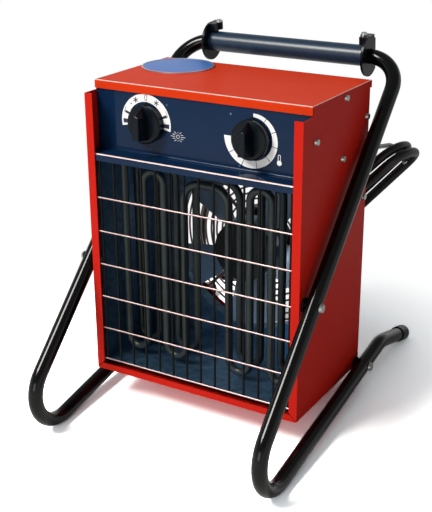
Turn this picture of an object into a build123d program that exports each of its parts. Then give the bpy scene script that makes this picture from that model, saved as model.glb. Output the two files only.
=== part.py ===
"""Portable forced air heater on a bent-tube stand.

A leaning box of painted sheet steel holds a galvanised duct. An axial fan draws air in through the
round opening at the back, and two serpentine tubular elements warm it on its way to the wire grille
at the front. The controls stand above the duct: a rotary switch and a capillary thermostat. Two
tubes bent to an open triangle carry the box and meet inside the handle.

Millimetres and degrees. +X is across the heater, +Y runs from front to back and +Z is up. The
origin is on the floor under the middle of the heater. Most pieces are placed in the casing's own
frame: across it, behind its cover's front edge, and up from its bottom.
"""
import os
from math import atan2, ceil, cos, hypot, pi, radians, sin, tan

from build123d import *

os.makedirs("parts", exist_ok=True)

# ------------------------------------------------------------------ driving dimensions: casing
body_width = 250.0
body_height = 324.2
cover_depth = 138.2
side_depth = 134.2
side_lead = 18.2
shoulder_drop = 10.5
sheet = 1.0
sheet_bend = 1.8
cover_lip = 8.6
cover_rear_lip = 8.0
cover_flange = 14.0
bottom_lip = 7.0
side_flange = 9.3
mitre_gap = 0.5
lean = 6.0
casing_lift = 36.3
casing_setback = 76.6
tuck = 0.2

# ------------------------------------------------------------------ driving dimensions: inside
compartment_drop = 36.4
compartment_flange = 14.0
panel_face_depth = 1.5
panel_crease_drop = 32.7
panel_ledge_fall = 2.0
panel_nose_depth = -16.7
panel_nose_height = 7.5
panel_bend = 2.2
panel_flange_depth = 20.0
duct_width = 234.0
duct_sheet = 0.8
duct_floor_height = 12.0
duct_front_depth = -12.0
duct_rear_depth = 108.0
rear_panel_depth = 132.0
rear_flange = 12.0

# ------------------------------------------------------------------ driving dimensions: fan
fan_height = 127.0
fan_radius = 92.0
fan_tip_gap = 5.0
collar_length = 14.0
blade_count = 5
blade_start = 60.0
blade_thickness = 1.4
blade_depth = 98.0
inlet_radius = 101.0
guard_wire = 1.2
guard_pitch = 7.5
guard_rings = 9
guard_spoke = 2.0
guard_stand_off = 7.0
motor_radius = 34.0
cup_wall = 2.0
cup_depth = 34.0
cup_front_depth = 88.0
stator_radius = 31.0
air_gap = 0.6
shaft_radius = 3.0
bearing_radius = 8.0
bearing_length = 6.0
running_gap = 0.05

# ------------------------------------------------------------------ driving dimensions: elements
element_radius = 4.25
element_leg_pitch = 25.0
element_inner_leg = 27.0
element_bottom = 22.3
element_top_gap = 18.8
element_middle_drop = 5.0
element_front_depth = 14.0
element_rear_depth = 38.0
element_end_rise = 13.4
bead_height = 3.0
bead_inset = 0.4
stud_radius = 1.6
stud_length = 8.0
tab_width = 6.3
tab_thickness = 0.8
tab_length = 8.0
element_nut_rim = 4.5
element_nut_height = 5.0
middle_bend = 20.0

# ------------------------------------------------------------------ driving dimensions: grille
rod_radius = 0.9
rod_pitch = 37.85
rod_count = 6
rod_first_height = 13.2
rod_depth = -16.0
wire_radius = 1.2
wire_pitch = 17.36
wire_count = 14
wire_top_gap = 3.8

# ------------------------------------------------------------------ driving dimensions: controls
dial_offset = 61.0
dial_drop = 39.2
knob_radius = 19.8
knob_skirt = 8.0
knob_height = 22.0
knob_gap = 1.0
grip_half_width = 8.0
grip_tail = 15.3
grip_tip = 23.0
grip_shoulder = 8.0
crown_half_width = 3.8
crown_tail = 13.1
crown_tip = 11.7
crown_shoulder = 10.7
spindle_radius = 3.0
spindle_length = 30.0
spindle_socket = 12.0
bushing_radius = 5.0
switch_size = 42.0
switch_depth = 34.0
thermostat_radius = 21.0
thermostat_depth = 26.0
badge_radius = 39.6
badge_across = -84.9
badge_depth = 97.2
badge_rim = 1.6
badge_thickness = 1.2

# ------------------------------------------------------------------ driving dimensions: stand
tube_radius = 8.0
tube_wall = 1.5
tube_bend = 38.0
leg_slope = 39.9
run_slope = 5.7
run_length = 371.7
rear_drop = 20.0
crossbar_height = 350.4
spacer_thickness = 2.2
spacer_radius = 7.5
leg_bolt_height = 164.5
run_bolt_reach = 203.0
bolt_radius = 2.5
bolt_head_radius = 5.0
bolt_head_height = 2.6
nut_radius = 4.6
nut_height = 4.0
rivet_nut_radius = 3.7
tube_joint_gap = 1.0
spigot_length = 120.0
grip_radius = 11.3
grip_half_length = 97.2
grip_shift = -1.5
flange_radius = 21.8
flange_flat = 14.5
flange_thickness = 2.5
flange_bend_gap = 0.4
boss_length = 10.4
boss_front = -6.0
boss_rear = 11.4
boss_base = 13.0
boss_top = 21.5
clamp_inset = 9.3
clamp_rear = 5.0
cap_radius = 9.2
cap_length = 16.0
cap_socket = 13.0
cap_sole = 0.8
fit_gap = 0.1

# ------------------------------------------------------------------ driving dimensions: fasteners
screw_radius = 1.75
screw_length = 7.0
screw_head_radius = 3.6
screw_head_height = 2.4

# ------------------------------------------------------------------ driving dimensions: cord
cord_radius = 5.0
hank_bend = 25.5
hank_run = 200.0
hank_pitch = 11.2
hank_slope = 48.0
hank_turn = -9.7
hank_centre = (58.2, 190.0, 150.5)
hank_turns = 2
hank_stagger = 3.0
gland_across = -60.0
gland_drop = 36.2
gland_length = 30.0
gland_collar_radius = 10.0
gland_collar = 3.0
plug_radius = 18.5
plug_length = 28.0
plug_relief = 22.0
plug_pin_radius = 2.4
plug_pin_length = 19.0
plug_pin_pitch = 19.0
hook_radius = 2.5

# ------------------------------------------------------------------ worked-out sizes
half_width = body_width / 2
inner_half = half_width - sheet
tube_plane = half_width + spacer_thickness + tube_radius

# Heights on the box are taken down from its top, so that the controls' compartment keeps its size.
shoulder_height = body_height - shoulder_drop
dial_height = body_height - dial_drop
gland_height = body_height - gland_drop
panel_crease_height = dial_height - panel_crease_drop
panel_ledge_height = panel_crease_height - panel_ledge_fall
panel_nose_bottom = panel_ledge_height - panel_nose_height
compartment_height = dial_height - compartment_drop
element_top = compartment_height - element_top_gap
element_middle_top = element_top - element_middle_drop
element_end_height = compartment_height + element_end_rise
wire_top_height = panel_ledge_height - wire_top_gap

# The front bend stands on the floor. Its two straight runs meet at a corner ahead of it.
half_turn = radians(leg_slope - run_slope) / 2
bisector = radians(leg_slope + run_slope) / 2
corner_reach = tube_bend / sin(half_turn)
bend_height = tube_bend + tube_radius
corner_ahead = corner_reach * cos(bisector)
corner_height = bend_height - corner_reach * sin(bisector)
crossbar_reach = (crossbar_height - corner_height) / tan(radians(leg_slope)) - corner_ahead
rear_height = cap_radius - cap_sole
rear_corner_height = corner_height + run_length * sin(radians(run_slope))
rear_corner_reach = run_length * cos(radians(run_slope)) - corner_ahead
rear_reach = rear_corner_reach + (rear_corner_height - rear_height) / tan(radians(rear_drop))
overall_depth = bend_height + max(crossbar_reach + flange_flat, rear_reach + cap_radius)

bend_y = bend_height - overall_depth / 2
crossbar_y = bend_y + crossbar_reach
front_corner = (bend_y - corner_ahead, corner_height)
rear_corner = (bend_y + rear_corner_reach, rear_corner_height)
rear_end = (bend_y + rear_reach, rear_height)

leg_bolt = (front_corner[0] + (leg_bolt_height - front_corner[1]) / tan(radians(leg_slope)), leg_bolt_height)
run_bolt_y = bend_y + run_bolt_reach
run_bolt = (run_bolt_y, front_corner[1] + (run_bolt_y - front_corner[0]) * tan(radians(run_slope)))

# ------------------------------------------------------------------ planes
casing = Plane(
    origin=(0, bend_y + casing_setback, casing_lift),
    x_dir=(1, 0, 0),
    z_dir=(0, sin(radians(lean)), cos(radians(lean))),
)


def spot(across, depth, height):
    """A point of the casing's frame."""
    return casing.from_local_coords((across, depth, height))


def heading(across, depth, height):
    """A direction of the casing's frame."""
    return casing.x_dir * across + casing.y_dir * depth + casing.z_dir * height


def level(height):
    """A plane parallel to the casing's bottom. Its X is across and its Y is depth."""
    return casing.offset(height)


def upright(depth):
    """A plane across the casing that faces forwards. Its X is across and its Y is height."""
    return Plane(origin=spot(0, depth, 0), x_dir=casing.x_dir, z_dir=-casing.y_dir)


def flank(across):
    """A plane parallel to the casing's sides that faces right. Its X is depth and its Y is height."""
    return Plane(origin=spot(across, 0, 0), x_dir=casing.y_dir, z_dir=casing.x_dir)


def side_view(across):
    """A plane parallel to the casing's sides, square to the floor. Its X is +Y and its Y is +Z."""
    return Plane(origin=(across, 0, 0), x_dir=(0, 1, 0), z_dir=(1, 0, 0))


def ray(depth, turn):
    """A plane on the fan's axis that faces outwards, turned up from the right. Its Y is forwards."""
    outwards = heading(cos(radians(turn)), 0, sin(radians(turn)))
    around = heading(-sin(radians(turn)), 0, cos(radians(turn)))
    return Plane(origin=spot(0, depth, fan_height), x_dir=around, z_dir=outwards)


# Screws through each side panel, as depth and height in the casing's frame.
cover_screw = (75.0, body_height - sheet - cover_flange / 2 + 1.5)
panel_screw = (panel_face_depth + 8.1, dial_height + 3.4)
floor_screw = (71.6, compartment_height + sheet + compartment_flange / 2)
rear_screws = [(rear_panel_depth - 3.0, body_height - drop) for drop in (36.5, 102.5, 123.5)]
side_screws = [cover_screw, panel_screw, floor_screw] + rear_screws


def side_holes(places, radius):
    """Holes bored right across the casing at places on its flank."""
    with BuildPart() as holes:
        with BuildSketch(flank(0)):
            with Locations(*places):
                Circle(radius)
        extrude(amount=body_width, both=True)
    return holes.part


def bolt_holes(radius):
    """Holes bored right across the casing and both tubes for the stand's bolts."""
    with BuildPart() as holes:
        with BuildSketch(side_view(0)):
            with Locations(leg_bolt, run_bolt):
                Circle(radius)
        extrude(amount=body_width, both=True)
    return holes.part


screw_holes = side_holes(side_screws, screw_radius + fit_gap)
stand_holes = bolt_holes(bolt_radius + fit_gap)


# ------------------------------------------------------------------ casing shell
# One sheet bent to a U: bottom and two sides, with a mitred flange round the front.
with BuildPart() as casing_shell:
    with BuildSketch(upright(-side_lead)):
        with BuildLine():
            FilletPolyline(
                (-half_width, body_height - sheet),
                (-half_width, 0),
                (half_width, 0),
                (half_width, body_height - sheet),
                radius=sheet_bend,
            )
            offset(amount=sheet, side=Side.LEFT)
        make_face()
    extrude(amount=-(side_lead + side_depth))
    for hand in (-1, 1):
        with BuildSketch(upright(-side_lead)):
            with BuildLine():
                Polyline(
                    (hand * (half_width - sheet_bend), sheet_bend + 2 * mitre_gap),
                    (hand * (half_width - side_flange), side_flange + 2 * mitre_gap),
                    (hand * (half_width - side_flange), shoulder_height),
                    (hand * (half_width - sheet / 2), shoulder_height),
                    (hand * (half_width - sheet / 2), sheet_bend + 2 * mitre_gap),
                    close=True,
                )
            make_face()
        extrude(amount=-sheet)
    with BuildSketch(upright(-side_lead)):
        with BuildLine():
            Polyline(
                (-half_width + sheet_bend, sheet / 2),
                (half_width - sheet_bend, sheet / 2),
                (half_width - sheet_bend, sheet_bend),
                (half_width - bottom_lip, bottom_lip),
                (-half_width + bottom_lip, bottom_lip),
                (-half_width + sheet_bend, sheet_bend),
                close=True,
            )
        make_face()
    extrude(amount=-sheet)
    with BuildSketch(flank(0)):
        with Locations((-side_lead, body_height)):
            Rectangle(
                side_lead + sheet_bend + tuck,
                body_height - shoulder_height,
                align=(Align.MIN, Align.MAX),
            )
    extrude(amount=body_width, both=True, mode=Mode.SUBTRACT)
    add(screw_holes, mode=Mode.SUBTRACT)
    add(stand_holes, mode=Mode.SUBTRACT)
casing_shell.part.label = "casing_shell"
export_step(casing_shell.part, "parts/casing_shell.step")

# ------------------------------------------------------------------ top cover
# It lies on the side panels. Its lips hang at the front and the back, and two flanges tuck inside.
with BuildPart() as top_cover:
    with BuildSketch(flank(-half_width)):
        with BuildLine():
            FilletPolyline(
                (0, body_height - cover_lip),
                (0, body_height),
                (cover_depth, body_height),
                (cover_depth, body_height - cover_rear_lip),
                radius=sheet_bend,
            )
            offset(amount=sheet, side=Side.RIGHT)
        make_face()
    extrude(amount=body_width)
    with BuildSketch(level(body_height - sheet)):
        for hand in (-1, 1):
            with Locations((hand * (inner_half - sheet / 2), side_depth / 2)):
                Rectangle(sheet, side_depth - rear_flange)
    extrude(amount=-cover_flange)
    add(screw_holes, mode=Mode.SUBTRACT)
top_cover.part.label = "top_cover"
export_step(top_cover.part, "parts/top_cover.step")

# ------------------------------------------------------------------ badge
# A round plate with a raised rim, stuck on the cover's rear left corner and left bare.
with BuildPart() as badge_plate:
    with BuildSketch(level(body_height)):
        with Locations((badge_across, badge_depth)):
            Circle(badge_radius)
    extrude(amount=badge_thickness)
    with BuildSketch(level(body_height + badge_thickness)):
        with Locations((badge_across, badge_depth)):
            Circle(badge_radius)
            Circle(badge_radius - badge_rim, mode=Mode.SUBTRACT)
    extrude(amount=badge_thickness / 3)
badge_plate.part.label = "badge_plate"
export_step(badge_plate.part, "parts/badge_plate.step")

# ------------------------------------------------------------------ control panel
# A bent sheet: the dial face, a nearly level ledge and a short nose that covers the grille's top.
panel_half = inner_half - tuck
with BuildPart() as control_panel:
    with BuildSketch(flank(-panel_half)):
        with BuildLine():
            FilletPolyline(
                (panel_face_depth, body_height - sheet - tuck),
                (panel_face_depth, panel_crease_height),
                (panel_nose_depth, panel_ledge_height),
                (panel_nose_depth, panel_nose_bottom),
                radius=panel_bend,
            )
            offset(amount=sheet, side=Side.LEFT)
        make_face()
    extrude(amount=2 * panel_half)
    with BuildSketch(level(panel_crease_height + panel_bend)):
        for hand in (-1, 1):
            with Locations((hand * (panel_half - sheet / 2), panel_flange_depth / 2 + panel_face_depth)):
                Rectangle(sheet, panel_flange_depth)
    extrude(amount=body_height - panel_crease_height - panel_bend - cover_flange - 2 * sheet)
    with BuildSketch(upright(panel_face_depth)):
        with Locations((-dial_offset, dial_height), (dial_offset, dial_height)):
            Circle(bushing_radius + fit_gap)
    extrude(amount=2 * sheet, both=True, mode=Mode.SUBTRACT)
    add(screw_holes, mode=Mode.SUBTRACT)
control_panel.part.label = "control_panel"
export_step(control_panel.part, "parts/control_panel.step")

# ------------------------------------------------------------------ compartment floor
# It closes the duct's top and carries the elements' ends, the terminals and the cut-out.
floor_front = panel_face_depth + sheet + tuck
floor_rear = rear_panel_depth - tuck
leg_places = [hand * (element_inner_leg + 3 * element_leg_pitch) for hand in (-1, 1)]
element_depths = (element_front_depth, element_rear_depth)
bulb_across = duct_width / 2 - 21.0
bulb_depth = duct_rear_depth - 12.0
bulb_radius = 3.0
bulb_length = 60.0
with BuildPart() as compartment_floor:
    with BuildSketch(level(compartment_height)):
        with Locations((0, (floor_front + floor_rear) / 2)):
            Rectangle(2 * panel_half, floor_rear - floor_front)
    extrude(amount=sheet)
    with BuildSketch(level(compartment_height)):
        for hand in (-1, 1):
            flange_length = floor_rear - rear_flange - panel_flange_depth - 4 * sheet
            flange_centre = (floor_rear - rear_flange + panel_flange_depth) / 2 + sheet
            with Locations((hand * (panel_half - sheet / 2), flange_centre)):
                Rectangle(sheet, flange_length)
    extrude(amount=sheet + compartment_flange)
    with BuildSketch(level(compartment_height)):
        with Locations(*[(place, depth) for place in leg_places for depth in element_depths]):
            Circle(element_radius + fit_gap)
        with Locations((bulb_across, bulb_depth)):
            Circle(bulb_radius + fit_gap)
        for hand in (-1, 1):
            with Locations((hand * panel_half, floor_rear)):
                Rectangle(2 * (sheet + tuck), 2 * rear_flange)
    extrude(amount=sheet, mode=Mode.SUBTRACT)
    add(screw_holes, mode=Mode.SUBTRACT)
compartment_floor.part.label = "compartment_floor"
export_step(compartment_floor.part, "parts/compartment_floor.step")

# ------------------------------------------------------------------ duct
# A galvanised liner: floor and sides, hung from the compartment floor, with a back plate whose
# collar surrounds the fan.
duct_half = duct_width / 2
opening_radius = fan_radius + fan_tip_gap
with BuildPart() as inner_duct:
    with BuildSketch(upright(duct_front_depth)):
        with BuildLine():
            Polyline(
                (-inner_half + tuck, compartment_height),
                (-duct_half, compartment_height),
                (-duct_half, duct_floor_height),
                (duct_half, duct_floor_height),
                (duct_half, compartment_height),
                (inner_half - tuck, compartment_height),
            )
            offset(amount=duct_sheet, side=Side.RIGHT, kind=Kind.INTERSECTION)
        make_face()
    extrude(amount=-(duct_rear_depth - duct_front_depth))
    with BuildSketch(level(compartment_height)):
        with Locations((0, duct_front_depth)):
            Rectangle(body_width, floor_front - duct_front_depth, align=(Align.CENTER, Align.MIN))
    extrude(amount=-(compartment_height - panel_nose_bottom) - 2 * sheet, mode=Mode.SUBTRACT)
    with BuildSketch(upright(duct_rear_depth - duct_sheet)):
        with BuildLine():
            Polyline(
                (-duct_half, duct_floor_height),
                (duct_half, duct_floor_height),
                (duct_half, compartment_height),
                (-duct_half, compartment_height),
                close=True,
            )
        make_face()
        with Locations((0, fan_height)):
            Circle(opening_radius, mode=Mode.SUBTRACT)
    extrude(amount=-duct_sheet)
    with BuildSketch(upright(duct_rear_depth - duct_sheet)):
        with Locations((0, fan_height)):
            Circle(opening_radius + duct_sheet)
            Circle(opening_radius, mode=Mode.SUBTRACT)
    extrude(amount=-collar_length)
inner_duct.part.label = "inner_duct"
export_step(inner_duct.part, "parts/inner_duct.step")

# ------------------------------------------------------------------ rear panel
guard_foot_radius = inlet_radius + 6.0
guard_turns = (45, 135, 225, 315)
guard_feet = [ray(rear_panel_depth, turn).offset(guard_foot_radius).origin for turn in guard_turns]
hook_foot = (113.0, 246.0)
with BuildPart() as rear_panel:
    with BuildSketch(upright(rear_panel_depth)):
        with Locations((0, (body_height + sheet) / 2)):
            Rectangle(2 * panel_half, body_height - 3 * sheet - 2 * tuck)
        with Locations((0, fan_height)):
            Circle(inlet_radius, mode=Mode.SUBTRACT)
        with Locations((0, fan_height)):
            with PolarLocations(guard_foot_radius, 4, start_angle=guard_turns[0]):
                Circle(screw_radius + fit_gap, mode=Mode.SUBTRACT)
        with Locations((gland_across, gland_height)):
            Circle(gland_collar_radius - gland_collar, mode=Mode.SUBTRACT)
        with Locations(hook_foot):
            Circle(hook_radius + fit_gap, mode=Mode.SUBTRACT)
    extrude(amount=-sheet)
    with BuildSketch(upright(rear_panel_depth)):
        for hand in (-1, 1):
            with Locations((hand * (panel_half - sheet / 2), (body_height - cover_flange) / 2)):
                Rectangle(sheet, body_height - 2 * cover_flange)
    extrude(amount=rear_flange)
    add(screw_holes, mode=Mode.SUBTRACT)
    add(stand_holes, mode=Mode.SUBTRACT)
rear_panel.part.label = "rear_panel"
export_step(rear_panel.part, "parts/rear_panel.step")

# ------------------------------------------------------------------ fan guard
# Wire rings on four spokes. The spokes carry the motor's plate and end in feet screwed to the panel.
rear_face = rear_panel_depth + sheet
guard_depth = rear_face + guard_stand_off
spoke_depth = guard_depth - guard_wire - guard_spoke + 0.4
plate_radius = motor_radius + 6.0
plate_thickness = 2.0
plate_bolt_radius = motor_radius + 1.0
plate_rear = spoke_depth - guard_spoke / 2
plate_front = plate_rear - plate_thickness
post_radius = guard_foot_radius - screw_head_radius - guard_spoke
hub_axis = Plane(origin=spot(0, 0, fan_height), x_dir=casing.x_dir, z_dir=-casing.y_dir)
with BuildPart() as fan_guard:
    with Locations(hub_axis.offset(-guard_depth)):
        for ring in range(guard_rings):
            Torus(plate_radius + ring * guard_pitch, guard_wire)
    for turn in guard_turns:
        with BuildSketch(ray(spoke_depth, turn).offset(plate_radius - guard_spoke)):
            Circle(guard_spoke)
        extrude(amount=post_radius - plate_radius + 2 * guard_spoke)
    with BuildSketch(hub_axis.offset(-rear_face)):
        with PolarLocations(post_radius, 4, start_angle=guard_turns[0]):
            Circle(0.7 * guard_spoke)
    extrude(amount=-(spoke_depth - rear_face + guard_spoke / 2))
    with BuildSketch(hub_axis.offset(-rear_face)):
        with PolarLocations(guard_foot_radius, 4, start_angle=guard_turns[0]):
            Circle(2 * screw_head_radius)
        with PolarLocations(guard_foot_radius, 4, start_angle=guard_turns[0]):
            Circle(screw_radius + fit_gap, mode=Mode.SUBTRACT)
    extrude(amount=-sheet)
    with BuildSketch(hub_axis.offset(-plate_rear)):
        Circle(plate_radius)
        Circle(bearing_radius, mode=Mode.SUBTRACT)
        with PolarLocations(plate_bolt_radius, 4):
            Circle(screw_radius + fit_gap, mode=Mode.SUBTRACT)
    extrude(amount=plate_thickness)
fan_guard.part.label = "fan_guard"
export_step(fan_guard.part, "parts/fan_guard.step")

# ------------------------------------------------------------------ fan motor and impeller
# The stator is bolted to the guard's plate. The rotor cup turns round it and carries the blades.
cup_rear_depth = cup_front_depth + cup_depth
stator_front_depth = cup_front_depth + cup_wall + 2.0
with BuildPart() as motor_stator:
    with BuildSketch(hub_axis.offset(-plate_front)):
        Circle(motor_radius + 4.0)
        with PolarLocations(plate_bolt_radius, 4):
            Circle(screw_radius + fit_gap, mode=Mode.SUBTRACT)
    extrude(amount=3.0)
    with BuildSketch(hub_axis.offset(-plate_front)):
        Circle(stator_radius)
    extrude(amount=plate_front - stator_front_depth)
    with BuildSketch(hub_axis.offset(-plate_front)):
        Circle(shaft_radius + 1.0)
    extrude(amount=plate_front - stator_front_depth, mode=Mode.SUBTRACT)
    for seat in (plate_front, stator_front_depth + bearing_length):
        with BuildSketch(hub_axis.offset(-seat)):
            Circle(bearing_radius)
        extrude(amount=bearing_length, mode=Mode.SUBTRACT)
motor_stator.part.label = "motor_stator"
export_step(motor_stator.part, "parts/motor_stator.step")

with BuildPart() as motor_bearings:
    for seat in (plate_front, stator_front_depth + bearing_length):
        with BuildSketch(hub_axis.offset(-seat)):
            Circle(bearing_radius)
            Circle(shaft_radius + running_gap, mode=Mode.SUBTRACT)
        extrude(amount=bearing_length)
motor_bearings.part.label = "motor_bearings"
export_step(motor_bearings.part, "parts/motor_bearings.step")

with BuildPart() as motor_shaft:
    with BuildSketch(hub_axis.offset(-plate_front - 1.0)):
        Circle(shaft_radius)
    extrude(amount=plate_front + 1.0 - cup_front_depth - cup_wall)
motor_shaft.part.label = "motor_shaft"
export_step(motor_shaft.part, "parts/motor_shaft.step")

with BuildPart() as rotor_cup:
    with BuildSketch(hub_axis.offset(-cup_rear_depth)):
        Circle(motor_radius)
    extrude(amount=cup_depth)
    with BuildSketch(hub_axis.offset(-cup_rear_depth)):
        Circle(stator_radius + air_gap)
    extrude(amount=cup_depth - cup_wall, mode=Mode.SUBTRACT)
rotor_cup.part.label = "rotor_cup"
export_step(rotor_cup.part, "parts/rotor_cup.step")

# Five blades pressed to a twist, riveted round a ring that grips the cup.
# Each section of a blade: its reach, chord and pitch in degrees.
blade_sections = (
    (motor_radius + 1.0, motor_radius, 36.0),
    ((motor_radius + fan_radius) / 2 + 1.0, motor_radius + 16.0, 24.0),
    (fan_radius + 2.0, motor_radius + 28.0, 16.0),
)
hub_ring_length = 16.0
hub_ring_wall = 2.0
with BuildPart() as fan_impeller:
    for blade in range(blade_count):
        arm = ray(blade_depth + hub_ring_length / 2, blade_start + 360 / blade_count * blade)
        for reach, chord, pitch in blade_sections:
            with BuildSketch(arm.offset(reach)):
                Rectangle(chord, blade_thickness, rotation=-pitch)
        loft()
    with BuildSketch(hub_axis.offset(-blade_depth + 4 * hub_ring_length)):
        Circle(2 * fan_radius)
        Circle(fan_radius, mode=Mode.SUBTRACT)
    extrude(amount=-8 * hub_ring_length, mode=Mode.SUBTRACT)
    with BuildSketch(hub_axis.offset(-blade_depth)):
        Circle(motor_radius + fit_gap + hub_ring_wall)
    extrude(amount=-hub_ring_length)
    with BuildSketch(hub_axis.offset(-blade_depth + 4 * hub_ring_length)):
        Circle(motor_radius + fit_gap)
    extrude(amount=-8 * hub_ring_length, mode=Mode.SUBTRACT)
fan_impeller.part.label = "fan_impeller"
export_step(fan_impeller.part, "parts/fan_impeller.step")

# ------------------------------------------------------------------ heating elements
# Each is one sheathed tube bent to four loops below and three above, in a plane of its own.
legs = [element_inner_leg + element_leg_pitch * step for step in range(4)]
narrow_bend = element_leg_pitch / 2 - 0.02
left_half = [
    (-legs[3], element_end_height),
    (-legs[3], element_bottom),
    (-legs[2], element_bottom),
    (-legs[2], element_top),
    (-legs[1], element_top),
    (-legs[1], element_bottom),
    (-legs[0], element_bottom),
    (-legs[0], element_middle_top),
]
element_route = left_half + [(-across, height) for across, height in reversed(left_half)]
element_bends = [narrow_bend] * 6 + [middle_bend] * 2 + [narrow_bend] * 6
for element_name, element_depth in (
    ("heating_element_front", element_front_depth),
    ("heating_element_rear", element_rear_depth),
):
    with BuildPart() as heating_element:
        with BuildLine(upright(element_depth)):
            sheath = FilletPolyline(*element_route, radius=element_bends)
        with BuildSketch(level(element_end_height)):
            with Locations((-legs[3], element_depth)):
                Circle(element_radius)
        sweep(path=sheath)
    heating_element.part.label = element_name
    export_step(heating_element.part, f"parts/{element_name}.step")

element_ends = [(place, depth) for place in leg_places for depth in element_depths]
floor_top = compartment_height + sheet
with BuildPart() as element_nuts:
    with BuildSketch(level(floor_top)):
        with Locations(*element_ends):
            RegularPolygon(element_radius + element_nut_rim, 6)
            Circle(element_radius + fit_gap, mode=Mode.SUBTRACT)
    extrude(amount=element_nut_height)
element_nuts.part.label = "element_nuts"
export_step(element_nuts.part, "parts/element_nuts.step")

with BuildPart() as element_terminals:
    with BuildSketch(level(element_end_height)):
        with Locations(*element_ends):
            Circle(element_radius - bead_inset)
    extrude(amount=bead_height)
    with BuildSketch(level(element_end_height + bead_height)):
        with Locations(*element_ends):
            Circle(stud_radius)
    extrude(amount=stud_length)
    with BuildSketch(level(element_end_height + bead_height + stud_length)):
        with Locations(*element_ends):
            Rectangle(tab_width, tab_thickness)
    extrude(amount=tab_length)
element_terminals.part.label = "element_terminals"
export_step(element_terminals.part, "parts/element_terminals.step")

# ------------------------------------------------------------------ front grille
# Six bright rods stand in front. Fourteen dark wires are welded behind them.
rod_heights = [rod_first_height + rod_pitch * step for step in range(rod_count)]
rod_half_length = half_width - side_flange + 5.0
with BuildPart() as grille_rods:
    with BuildSketch(flank(-rod_half_length)):
        with Locations(*[(rod_depth, height) for height in rod_heights]):
            Circle(rod_radius)
    extrude(amount=2 * rod_half_length)
grille_rods.part.label = "grille_rods"
export_step(grille_rods.part, "parts/grille_rods.step")

wire_depth = rod_depth + rod_radius + wire_radius
wire_bottom_height = rod_first_height - 2 * rod_radius
with BuildPart() as grille_wires:
    with BuildSketch(level(wire_bottom_height)):
        with Locations((0, wire_depth)):
            with GridLocations(wire_pitch, 1, wire_count, 1):
                Circle(wire_radius)
    extrude(amount=wire_top_height - wire_bottom_height)
grille_wires.part.label = "grille_wires"
export_step(grille_wires.part, "parts/grille_wires.step")


# ------------------------------------------------------------------ knobs, spindles, switch, thermostat
def dial(across):
    """The plane of one dial, on the panel's face and facing forwards."""
    return Plane(origin=spot(across, panel_face_depth, dial_height), x_dir=casing.x_dir, z_dir=-casing.y_dir)


for knob_name, across in (("switch_knob", -dial_offset), ("thermostat_knob", dial_offset)):
    seat = dial(across).offset(knob_gap)
    with BuildPart() as knob:
        with BuildSketch(seat):
            Circle(knob_radius)
        extrude(amount=knob_skirt)
        rim = knob.edges().filter_by(GeomType.CIRCLE).sort_by(Axis(seat.origin, seat.z_dir))[-1]
        chamfer(rim, 1.4)
        grip_outlines = (
            (0, grip_half_width, grip_tail, grip_shoulder, grip_tip),
            (knob_height, crown_half_width, crown_tail, crown_shoulder, crown_tip),
        )
        for rise, half, tail, shoulder, tip in grip_outlines:
            with BuildSketch(seat.offset(rise)):
                with BuildLine():
                    Polyline((-half, -tail), (half, -tail), (half, shoulder), (0, tip), (-half, shoulder), close=True)
                make_face()
        loft(ruled=True)
        crown = knob.faces().sort_by(Axis(seat.origin, seat.z_dir))[-1]
        chamfer(crown.edges(), 0.6)
        with BuildSketch(seat):
            Circle(spindle_radius + running_gap)
        extrude(amount=spindle_socket, mode=Mode.SUBTRACT)
    knob.part.label = knob_name
    export_step(knob.part, f"parts/{knob_name}.step")

for spindle_name, across in (("switch_spindle", -dial_offset), ("thermostat_spindle", dial_offset)):
    with BuildPart() as spindle:
        with BuildSketch(dial(across).offset(knob_gap + spindle_socket - 0.5)):
            Circle(spindle_radius)
        extrude(amount=-spindle_length)
    spindle.part.label = spindle_name
    export_step(spindle.part, f"parts/{spindle_name}.step")

spindle_depth = spindle_length - knob_gap - spindle_socket + 0.5
with BuildPart() as rotary_switch:
    with BuildSketch(dial(-dial_offset).offset(-sheet)):
        RectangleRounded(switch_size, switch_size, 4.0)
    extrude(amount=-switch_depth)
    with BuildSketch(dial(-dial_offset).offset(-sheet)):
        Circle(bushing_radius)
    extrude(amount=sheet)
    with BuildSketch(dial(-dial_offset)):
        Circle(spindle_radius + running_gap)
    extrude(amount=-spindle_depth - 1.0, mode=Mode.SUBTRACT)
rotary_switch.part.label = "rotary_switch"
export_step(rotary_switch.part, "parts/rotary_switch.step")

with BuildPart() as thermostat_body:
    with BuildSketch(dial(dial_offset).offset(-sheet)):
        Circle(thermostat_radius)
    extrude(amount=-thermostat_depth)
    with BuildSketch(dial(dial_offset).offset(-sheet)):
        Circle(bushing_radius)
    extrude(amount=sheet)
    with BuildSketch(dial(dial_offset)):
        Circle(spindle_radius + running_gap)
    extrude(amount=-spindle_depth - 1.0, mode=Mode.SUBTRACT)
thermostat_body.part.label = "thermostat_body"
export_step(thermostat_body.part, "parts/thermostat_body.step")

# The thermostat's capillary runs down through the compartment floor to a bulb in the duct.
capillary_radius = 1.0
capillary_start = (dial_offset + 8.0, panel_face_depth + sheet + thermostat_depth, dial_height)
with BuildPart() as thermostat_capillary:
    with BuildLine(casing):
        capillary = FilletPolyline(
            capillary_start,
            (capillary_start[0], capillary_start[1] + 24.0, dial_height),
            (capillary_start[0], capillary_start[1] + 24.0, compartment_height + 24.0),
            (bulb_across, bulb_depth, compartment_height + 24.0),
            (bulb_across, bulb_depth, compartment_height - 20.0),
            radius=9.0,
        )
    with BuildSketch(upright(capillary_start[1])):
        with Locations((capillary_start[0], dial_height)):
            Circle(capillary_radius)
    sweep(path=capillary)
    with BuildSketch(level(compartment_height - 20.0)):
        with Locations((bulb_across, bulb_depth)):
            Circle(bulb_radius)
    extrude(amount=-bulb_length)
thermostat_capillary.part.label = "thermostat_capillary"
export_step(thermostat_capillary.part, "parts/thermostat_capillary.step")

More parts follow.
